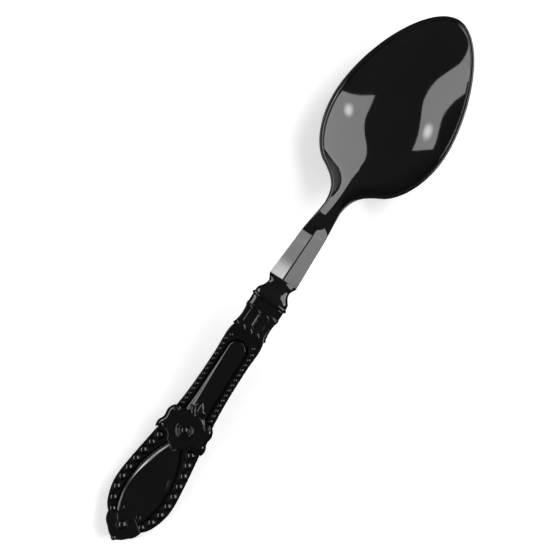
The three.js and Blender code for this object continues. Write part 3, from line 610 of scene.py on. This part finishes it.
def panel(name, stations, half, bevel, rise, land=0.0, round_end=None, dome=0.24):
    """A raised panel built from its outline inwards: wall, tight shoulder, bevel, then a low dome."""
    side = [(s, float(half(s))) for s in stations]
    if round_end:
        radius = side[-1][1]
        side += [(round_end - radius + radius * math.sin(a), radius * math.cos(a))
                 for a in np.linspace(0, math.pi / 2, 25)[1:]]
    else:
        side.append((side[-1][0], 0.0))
    side = np.array([(side[0][0], 0.0)] + side)
    loop = np.vstack([side, side[-2:0:-1] * (1, -1)])
    along = np.roll(loop, -1, axis=0) - np.roll(loop, 1, axis=0)
    outward = np.stack([-along[:, 1], along[:, 0]], axis=1)
    outward /= np.maximum(np.linalg.norm(outward, axis=1), 1e-9)[:, None]
    local = np.maximum(np.abs(loop[:, 1]), 1e-6)
    width = np.minimum(bevel(loop[:, 0]), local * 0.45)
    slope = math.tan(math.radians(BEVEL_SLOPE))
    foot = rise(loop[:, 0]) - dome - width * slope
    rings = []

    def ring_at(inset, height):
        ring = loop - outward * np.minimum(inset, local * 0.75)[:, None]
        rings.append(np.column_stack([ring, ledge_height(ring[:, 0]) + height + spine(ring[:, 0])]))
        return ring

    ring_at(0, -PANEL_SEAT)
    for inset, drop in ((0.0, 0.5), (0.0, 0.16), (0.012, 0.1), (0.045, 0.045), (0.1, 0.012)):
        ring_at(inset, foot - drop)
    for share in (0.0, 0.2, 0.45, 0.7, 0.88):
        ring_at(SHOULDER + land + width * share, foot + width * slope * share)
    start = ring_at(SHOULDER + land + width, foot + width * slope * 0.97)
    end = start * (1, 0)
    if round_end:
        end[:, 0] = np.minimum(end[:, 0], round_end - float(half(round_end)))
    for share in (0.05, 0.1, 0.16, 0.22, 0.28, 0.35, 0.42, 0.5, 0.58, 0.66, 0.75, 0.84, 0.92, 0.97, 1):
        ring = start + (end - start) * share
        height = foot + width * slope * 0.97 + dome * (1 - (1 - share) ** 2)
        rings.append(np.column_stack([ring, ledge_height(ring[:, 0]) + height + spine(ring[:, 0])]))
    rings = [rings[0] * (1, 0, 1)] + rings
    return rolled(name, rings, merge=0.004)


BEVEL_SLOPE, PANEL_RISE, PANEL_SEAT, SHOULDER = 26.0, 1.5, 0.75, 0.14
teardrop_bevel = fair((8.4, 0.1), (13, 0.1), (17.5, 0.14), (21.5, 0.5), (26, 0.95), (30, 0.8),
                      (35.4, 0.4))
teardrop_rise = fair((8.4, 0.62), (9.6, 0.8), (12, 1.2), (15, 1.46), (20, PANEL_RISE),
                     (36, PANEL_RISE))
teardrop = panel("teardrop_panel_dome", np.linspace(8.4, 35.2, 110), teardrop_half,
                 teardrop_bevel, rise=teardrop_rise, land=0.3)


def placed(name, data):
    """A new object made of some data. It alone is selected."""
    thing = bpy.data.objects.new(name, data)
    bpy.context.scene.collection.objects.link(thing)
    bpy.ops.object.select_all(action="DESELECT")
    thing.select_set(True)
    bpy.context.view_layer.objects.active = thing
    return thing


def wire(name, path, radius):
    """A thin raised thread of plastic along a path of (station, side, height) points."""
    curve = bpy.data.curves.new(name, "CURVE")
    curve.dimensions = "3D"
    curve.bevel_depth = radius / 1000
    curve.bevel_resolution = 5
    curve.use_fill_caps = True
    line = curve.splines.new("NURBS")
    line.points.add(len(path) - 1)
    for point, (s, w, z, *thick) in zip(line.points, path):
        point.co = ((s - LENGTH / 2) / 1000, w / 1000, z / 1000, 1)
        point.radius = thick[0] if thick else 1.0
    line.order_u = 4
    line.use_endpoint_u = True
    line.resolution_u = 5
    placed(name, curve)
    bpy.ops.object.convert(target="MESH")
    bpy.ops.object.shade_smooth()
    return bpy.context.object


def scroll(name, s, w, radius, turns, start, height, thickness, winding=1):
    """A flat spiral that closes in on itself, thinner towards its eye."""
    path = []
    for t in np.linspace(0, 1, 26):
        a = start + winding * turns * 2 * math.pi * t
        r = radius * (1 - 0.68 * t)
        path.append((s + r * math.cos(a), w + r * math.sin(a), height + 0.12 * t, 1 - 0.3 * t))
    return wire(name, path, thickness)


corners = [scroll(f"corner_scroll_{side}", 9.95, side * 2.85, 0.78, 0.85, math.radians(110 * side),
                  float(spine(10) + ledge_height(10)) + 0.84, 0.27, winding=-side) for side in (-1, 1)]
teardrop = joined(teardrop, corners)
inlay_black = black_moulding("black_inlay", (0.0014, 0.0014, 0.0015), (0.0024, 0.0024, 0.0025),
                             polish=0.028, haze=0.03, marks=0.025, dust=0.3,
                             sink=4e-6, flow=1e-6, peel=1.5e-7)
finished(teardrop, inlay_black, "inlay_black", "teardrop_panel")

# ---- Long panel ----
# The narrow black panel on the shaft of the handle: a soft dome beside the rosette that flattens
# and gets a tighter edge towards its rounded end.
long_bevel = fair((44.6, 1.45), (48, 1.1), (52, 0.8), (58, 0.5), (64, 0.25), (68.5, 0.1), (72, 0.1))
long_panel = panel("long_panel_dome", np.linspace(44.6, PANEL_END - PANEL_ROUND, 90), long_half,
                   long_bevel, rise=lambda s: PANEL_RISE, round_end=PANEL_END)
finished(long_panel, inlay_black, "inlay_black", "long_panel")

# ---- Rosette ----
# The black cartouche over the ends of both panels, pressed on with a short peg: a pillowed plate with
# a notch round each last big bead, a pointed petal, a pair of scrolls, a ringed boss with a bead in
# its middle, and a leaf that lies on the long panel.
CENTRE = 40.0


def spaced(points, step):
    """The closed outline through the points, resampled at equal steps."""
    points = np.array(points, float)
    closed = np.vstack([points, points[:1]])
    lengths = np.concatenate([[0], np.cumsum(np.linalg.norm(np.diff(closed, axis=0), axis=1))])
    at = np.linspace(0, lengths[-1], int(lengths[-1] / step) + 1)[:-1]
    return np.column_stack([np.interp(at, lengths, closed[:, 0]), np.interp(at, lengths, closed[:, 1])])


def rounded_corners(points, times):
    """Chaikin's corner cutting, which turns a drawn polygon into a flowing outline."""
    points = np.array(points, float)
    for _ in range(times):
        after = np.roll(points, -1, axis=0)
        points = np.stack([0.75 * points + 0.25 * after, 0.25 * points + 0.75 * after], axis=1)
        points = points.reshape(-1, 2)
    return points


def mirrored(side):
    side = np.array(side, float)
    return np.vstack([side, side[-2:0:-1] * (1, -1)])


def depth_inside(points, outline):
    """Distance from each point to the outline."""
    a, b = outline, np.roll(outline, -1, axis=0)
    best = np.full(len(points), 1e9)
    for p, q in zip(a, b):
        d = q - p
        t = np.clip(((points - p) @ d) / max(d @ d, 1e-12), 0, 1)
        best = np.minimum(best, np.linalg.norm(points - p - t[:, None] * d, axis=1))
    return best


EDGE_INSETS = (0.02, 0.05, 0.09, 0.14, 0.2, 0.28)


def pillow(name, outline, edge, rise, base, relief=None, grain=0.17):
    """A plate with a soft rounded edge. It rises from base over a width edge, and relief adds to it."""
    outline = spaced(outline, 0.14)
    along = np.roll(outline, -1, axis=0) - np.roll(outline, 1, axis=0)
    inward = np.stack([-along[:, 1], along[:, 0]], axis=1)
    inward /= np.linalg.norm(inward, axis=1)[:, None]
    after = np.roll(outline, -1, axis=0)
    area = np.sum(outline[:, 0] * after[:, 1] - after[:, 0] * outline[:, 1])
    inward *= 1 if area > 0 else -1
    low, high = outline.min(0), outline.max(0)
    near = [outline + inward * d for d in EDGE_INSETS]
    rows = np.arange(low[1], high[1], grain * 0.866)
    lattice = [(x, y) for k, y in enumerate(rows)
               for x in np.arange(low[0] + (k % 2) * grain / 2, high[0], grain)]
    lattice = np.array(lattice)
    kept = [ring[depth_inside(ring, outline) > 0.93 * d] for d, ring in zip(EDGE_INSETS, near)]
    kept.append(lattice[depth_inside(lattice, outline) > 0.36])
    points = np.vstack([outline] + kept)
    count = len(outline)
    edges = [(i, (i + 1) % count) for i in range(count)]
    verts, _, faces, *_ = delaunay_2d_cdt(
        [Vector(p) for p in points], edges, [list(range(count))], 2, 1e-5)
    flat = np.array([tuple(v) for v in verts])
    depth = depth_inside(flat, outline)
    wide = edge(flat[:, 0], flat[:, 1]) if callable(edge) else edge
    share = np.clip(depth / wide, 0, 1)
    height = rise * np.sqrt(np.clip(1 - (1 - share) ** 2, 0, 1))
    if relief:
        height = height + relief(flat[:, 0], flat[:, 1], depth)
    top = np.column_stack([flat[:, 0] - LENGTH / 2, flat[:, 1], base + height + spine(flat[:, 0])])
    mesh = bpy.data.meshes.new(name)
    mesh.from_pydata((top / 1000).tolist(), [], [list(f) for f in faces])
    plate = placed(name, mesh)
    bpy.ops.object.mode_set(mode="EDIT")
    bpy.ops.mesh.select_all(action="SELECT")
    bpy.ops.mesh.normals_make_consistent(inside=False)
    bpy.ops.mesh.select_all(action="DESELECT")
    bpy.ops.mesh.select_non_manifold()
    bpy.ops.mesh.extrude_region_move(TRANSFORM_OT_translate={"value": (0, 0, -0.0008)})
    bpy.ops.mesh.edge_face_add()
    faced_and_smoothed(60)
    return plate


NOTCH_HALF, NOTCH_AT = 2.85, (34.3, 5.95)
notch = [(NOTCH_AT[0] + NOTCH_HALF * math.cos(a), NOTCH_AT[1] + NOTCH_HALF * math.sin(a))
         for a in np.radians(np.arange(-78, 62, 8))]
rosette_side = [
    (32.45, 0), (33.2, 0.85), (34.1, 1.9), (34.55, 2.9), *notch,
    (35.9, 8.1), (36.4, 8.42), (37.1, 8.6), (37.9, 8.66), (38.7, 8.45), (39.4, 8.05), (40.1, 7.76),
    (40.9, 7.76), (41.7, 7.92), (42.5, 8.0), (43.3, 7.86), (44.0, 7.55), (44.7, 7.1), (45.2, 6.5),
    (45.4, 5.85), (45.3, 5.1), (45.1, 4.6), (45.7, 3.95), (46.1, 3.2), (46.2, 2.2), (46.2, 1.2),
    (46.2, 0)]
PLATE_RISE = 1.75
base_ledge = float(ledge_height(CENTRE))
plate_base = base_ledge + 0.35
top_of_plate = plate_base + PLATE_RISE


def rosette_relief(s, w, depth):
    r = np.hypot(s - CENTRE, w)
    turn = np.arctan2(w, s - CENTRE)
    swell = 0.08 * hump(r - 6.0, 1.6) * np.abs(np.cos(2 * turn)) ** 0.7
    return swell * np.clip(depth / 0.8, 0, 1)


def rosette_edge(s, w):
    """The rounded edge is broad on the outer lobes and tight round the notches and the petal."""
    return 0.3 + 1.2 * eased(np.abs(w) + 0.9 * (s - 36.2), 7.2, 8.6)


plate = pillow("rosette_plate", rounded_corners(mirrored(rosette_side), 2), rosette_edge, PLATE_RISE,
               plate_base, rosette_relief)


def upright(name, s, w, z, profile, segments=96):
    """A small turned boss standing on the spoon: a profile of (radius, height) spun about its axis."""
    mesh = bpy.data.meshes.new(name)
    mesh.from_pydata([((s - LENGTH / 2 + r) / 1000, w / 1000, (z + h) / 1000) for r, h in profile],
                     [(i, i + 1) for i in range(len(profile) - 1)], [])
    boss = placed(name, mesh)
    bpy.ops.object.mode_set(mode="EDIT")
    bpy.ops.mesh.select_all(action="SELECT")
    bpy.ops.mesh.spin(steps=segments, angle=2 * math.pi, center=((s - LENGTH / 2) / 1000, w / 1000, 0),
                      axis=(0, 0, 1))
    bpy.ops.mesh.select_all(action="SELECT")
    bpy.ops.mesh.remove_doubles(threshold=1e-6)
    bpy.ops.mesh.fill_holes(sides=0)
    faced_and_smoothed(50)
    return boss


def bulge(centre, width, height, base=0.0, steps=9):
    """A half-round moulding in a boss's profile, from its outer foot to its inner foot."""
    return [(centre + width * math.cos(a), base + height * math.sin(a))
            for a in np.linspace(0, math.pi, steps)]


boss_profile = ([(2.95, -1.2), (2.95, -0.1)] + bulge(2.5, 0.42, 0.44, steps=17)
                + bulge(1.66, 0.26, 0.28, steps=13) + bulge(0, 1.12, 0.68, steps=25)[:12])
boss_profile = [p for p in boss_profile if p[0] > 1e-3] + [(0.0, 0.68)]
boss = upright("rosette_boss", CENTRE, 0, float(spine(CENTRE)) + top_of_plate - 0.05, boss_profile)

leaf_side = [(45.2, 0), (45.2, 1.2), (46.0, 1.9), (46.9, 2.2), (47.5, 2.95), (47.9, 2.7), (47.95, 1.9),
             (48.4, 1.75), (49.1, 1.3), (49.8, 0.7), (50.4, 0)]


def leaf_relief(s, w, depth):
    vein = -0.1 * hump(w, 0.16) * eased(s, 46.0, 47.2)
    fork = -0.1 * hump(np.abs(w) - 0.55 * (s - 45.6), 0.17) * (1 - eased(s, 47.2, 48.2))
    return (vein + fork) * np.clip(depth / 0.3, 0, 1)


leaf = pillow("rosette_leaf", rounded_corners(mirrored(leaf_side), 2), 0.8, 0.75,
              float(ledge_height(47.5)) + 1.25, leaf_relief, grain=0.11)
knot = upright("leaf_knot", 45.15, 0, float(spine(45.15)) + top_of_plate - 0.7,
               [p for p in bulge(0, 0.62, 0.75)[:5] if p[0] > 1e-3] + [(0.0, 0.75)], 48)
rosette_parts = [boss, leaf, knot]
for side in (-1, 1):
    z = float(spine(44.2)) + top_of_plate - 0.38
    rosette_parts.append(scroll(f"shoulder_scroll_{side}", 44.1, side * 5.5, 1.15, 1.15,
                                math.radians(-60 * side), z, 0.36, winding=side))
    rosette_parts.append(wire(
        f"leaf_stem_{side}",
        [(43.6, side * 4.7, z + 0.05, 0.8), (44.5, side * 4.2, z + 0.1, 1.0),
         (45.5, side * 3.6, z - 0.1, 0.95), (46.2, side * 2.9, z - 0.35, 0.8),
         (46.5, side * 2.2, z - 0.6, 0.5)], 0.36))
    rosette_parts.append(wire(
        f"petal_edge_{side}",
        [(32.7, side * 0.35, float(spine(33)) + base_ledge + 1.65, 0.5),
         (33.6, side * 1.25, float(spine(34)) + base_ledge + 1.85, 1.0),
         (34.5, side * 1.85, float(spine(35)) + base_ledge + 1.95, 1.0),
         (35.3, side * 1.95, float(spine(35.5)) + base_ledge + 1.8, 0.5)], 0.24))
rosette = joined(plate, rosette_parts)
rosette.name = rosette.data.name = "rosette_cartouche"
finished(rosette, trim_black, "trim_black", "rosette")

# ---- End finial ----
# The black end piece, keyed on to a tongue of the two shells: a lobed plate that overlaps the foot of
# the teardrop panel in an arc, with ribs fanning from a domed stud, and a small ball at the very end.
finial_side = [(0.42, 0), (0.45, 0.7), (0.75, 1.2), (1.2, 2.0), (1.8, 2.75), (2.44, 3.35), (3.0, 3.95),
               (3.6, 4.75), (4.3, 5.3), (5.2, 5.72), (6.1, 5.95), (6.75, 6.08), (7.3, 5.2), (8.1, 4.1),
               (9.0, 3.0), (9.75, 1.7), (10.0, 0)]
STUD_AT, FINIAL_BASE, FINIAL_RISE = 5.6, 0.95, 1.35


def finial_relief(s, w, depth):
    away = np.hypot(s - STUD_AT, w)
    return 0.35 * hump(away, 4.2) - 0.05 * hump(away - 1.75, 0.22)


finial_plate = pillow("finial_plate", rounded_corners(mirrored(finial_side), 2), 0.28, FINIAL_RISE,
                      FINIAL_BASE, finial_relief)
foot_side = [(0.9, 0), (0.95, 0.9), (1.5, 2.0), (2.4, 3.0), (3.4, 4.2), (4.6, 5.15), (5.6, 5.6),
             (6.7, 5.85), (6.7, 0)]
outline = spaced(rounded_corners(mirrored(foot_side), 2), 0.25)
levels = ((0.35, -2.33), (0.1, -2.05), (0.0, -1.2), (0.0, 0.2), (0.05, 1.3), (0.35, 1.4))
centre = np.array([4.6, 0.0])
foot_rings = []
for inset, z in levels:
    pull = 1 - inset / 4.5
    foot_rings.append(np.column_stack([centre + (outline - centre) * pull,
                                       np.full(len(outline), z + 2.5)]))
foot = rolled("finial_foot", foot_rings)
STUD_HALF, STUD_RISE = 1.42, 1.05
stud_profile = [(1.7, -0.6), (1.7, -0.02)] + bulge(1.58, 0.12, 0.06)
stud_profile += [p for p in bulge(0, STUD_HALF, STUD_RISE, steps=25)[:13] if p[0] > 1e-3]
stud_profile.append((0.0, STUD_RISE))
finial_top = float(spine(STUD_AT)) + FINIAL_BASE + FINIAL_RISE + 0.3
stud = upright("finial_stud", STUD_AT, 0, finial_top, stud_profile)
bpy.ops.object.select_all(action="DESELECT")
BALL_HALF, BALL_AT, BALL_HEIGHT = 0.88, 0.89, 4.5
bpy.ops.mesh.primitive_uv_sphere_add(
    segments=48, ring_count=24, radius=BALL_HALF / 1000,
    location=((BALL_AT - LENGTH / 2) / 1000, 0, BALL_HEIGHT / 1000))
ball = bpy.context.object
ball.name = "finial_ball"
bpy.ops.object.transform_apply(location=True, rotation=True, scale=True)
bpy.ops.object.shade_smooth()
ribs = []
for side in (-1, 1):
    for k, (s0, w0, s1, w1) in enumerate(((5.8, 1.75, 7.7, 3.2), (4.2, 1.35, 5.2, 1.7))):
        ribs.append(wire(f"rib_{side}_{k}", [
            (s0, side * w0, finial_top - 0.22, 0.6),
            (0.5 * (s0 + s1), side * 0.5 * (w0 + w1), finial_top - 0.1, 1.0),
            (s1, side * w1, finial_top - 0.32, 0.6)], 0.26))
finial = joined(finial_plate, [foot, stud, ball, *ribs])
finial.name = finial.data.name = "end_finial_piece"
finished(finial, trim_black, "trim_black", "end_finial")

# ---- Table top, light and camera ----
# A plain pale table, a wide soft box on each side, a dim room above, and a camera with a long lens
# that looks almost straight down.
bpy.ops.object.select_all(action="DESELECT")
bpy.ops.mesh.primitive_plane_add(size=6, location=(0, 0, -0.00002))
table = bpy.context.object
table.name = "table_top"
paper = bpy.data.materials.new("pale_table")
paper.use_nodes = True
paper_shader = paper.node_tree.nodes["Principled BSDF"]
paper_shader.inputs["Roughness"].default_value = 0.9
paper_shader.inputs["Emission Strength"].default_value = 0.35
fibres = wired(paper.node_tree, "TexNoise", Scale=40.0, Detail=4.0,
               Vector=wired(paper.node_tree, "TexCoord").outputs["Object"])
pale = wired(paper.node_tree, "Mix", {"data_type": "RGBA"}, in0=fibres.outputs["Fac"],
             in6=(0.86, 0.86, 0.86, 1), in7=(0.9, 0.9, 0.9, 1))
paper.node_tree.links.new(pale.outputs[2], paper_shader.inputs["Base Color"])
paper.node_tree.links.new(pale.outputs[2], paper_shader.inputs["Emission Color"])
table.data.materials.append(paper)
table.visible_glossy = False

VIEW_RIGHT = Vector((0.5505, -0.8348, 0))
VIEW_UP = Vector((0.8348, 0.5505, 0))
BOX_DISTANCE, SPOT_CORE, SPOT_FADE = 1.0, 0.02, 0.13


def soft_box(name, bearing, tilt, width, height, glow, spot, spot_at):
    """A soft box. Its bearing is degrees from the view's right, its tilt is from straight up. A round
    hot spot of strength spot lies spot_at metres from its middle."""
    turn, lean = math.radians(bearing), math.radians(tilt)
    flat = VIEW_RIGHT * math.cos(turn) + VIEW_UP * math.sin(turn)
    way = flat * math.sin(lean) + Vector((0, 0, math.cos(lean)))
    data = bpy.data.lights.new(name, "AREA")
    data.shape, data.size, data.size_y, data.energy = "RECTANGLE", width, height, 1.0
    data.use_nodes = True
    tree = data.node_tree
    emission = tree.nodes["Emission"]
    place = wired(tree, "NewGeometry").outputs["Parametric"]
    metres = wired(tree, "VectorMath", {"operation": "MULTIPLY"}, in0=place, in1=(width, height, 0))
    middle = (width * 0.5 + spot_at[0], height * 0.5 + spot_at[1], 0)
    moved = wired(tree, "VectorMath", {"operation": "DISTANCE"}, in0=metres.outputs["Vector"],
                  in1=middle)
    near = wired(tree, "MapRange", {"interpolation_type": "SMOOTHSTEP"}, Value=moved.outputs["Value"],
                 From_Min=SPOT_FADE, From_Max=SPOT_CORE, To_Min=glow, To_Max=spot)
    tree.links.new(near.outputs["Result"], emission.inputs["Strength"])
    box = bpy.data.objects.new(name, data)
    bpy.context.scene.collection.objects.link(box)
    box.location = way * BOX_DISTANCE
    box.rotation_euler = way.to_track_quat("Z", "Y").to_euler()
    box.visible_camera = False
    return box


soft_box("left_soft_box", bearing=179.3, tilt=51.3, width=1.48, height=0.38,
         glow=8.1, spot=26.0, spot_at=(-0.497, 0.0))
soft_box("right_soft_box", bearing=10.6, tilt=57.9, width=1.27, height=0.926,
         glow=17.0, spot=54.0, spot_at=(-0.39, 0.08))

world = bpy.data.worlds.new("studio")
bpy.context.scene.world = world
world.use_nodes = True
background = world.node_tree.nodes["Background"]
direction = wired(world.node_tree, "TexCoord").outputs["Generated"]
split = wired(world.node_tree, "SeparateXYZ", Vector=direction)
ramp = wired(world.node_tree, "MapRange", {"interpolation_type": "SMOOTHSTEP"},
             Value=split.outputs["Z"], From_Min=0.0, From_Max=0.5, To_Min=0.02, To_Max=0.12)
background.inputs["Color"].default_value = (1, 1, 1, 1)
world.node_tree.links.new(ramp.outputs["Result"], background.inputs["Strength"])

DISTANCE, VIEW_WIDTH, ROLL = 0.6, 0.16995, math.radians(0.33)
TILT_BACK, TILT_SIDE = math.radians(2), math.radians(4.5)
camera_data = bpy.data.cameras.new("camera")
camera_data.lens = DISTANCE * camera_data.sensor_width / VIEW_WIDTH
camera = bpy.data.objects.new("camera", camera_data)
bpy.context.scene.collection.objects.link(camera)
towards = Vector((-math.tan(TILT_BACK), -math.tan(TILT_SIDE), 1)).normalized()
aim = Vector((-0.0011, 0.00138, 0.008))
right = (VIEW_RIGHT - towards * VIEW_RIGHT.dot(towards)).normalized()
up = towards.cross(right)
right, up = (right * math.cos(ROLL) + up * math.sin(ROLL),
             up * math.cos(ROLL) - right * math.sin(ROLL))
turned_to = Matrix((right, up, towards)).transposed().to_4x4()
camera.matrix_world = Matrix.Translation(aim + towards * DISTANCE) @ turned_to
camera_data.clip_start, camera_data.clip_end = 0.01, 20
bpy.context.scene.camera = camera
bpy.context.scene.view_settings.view_transform = "Standard"
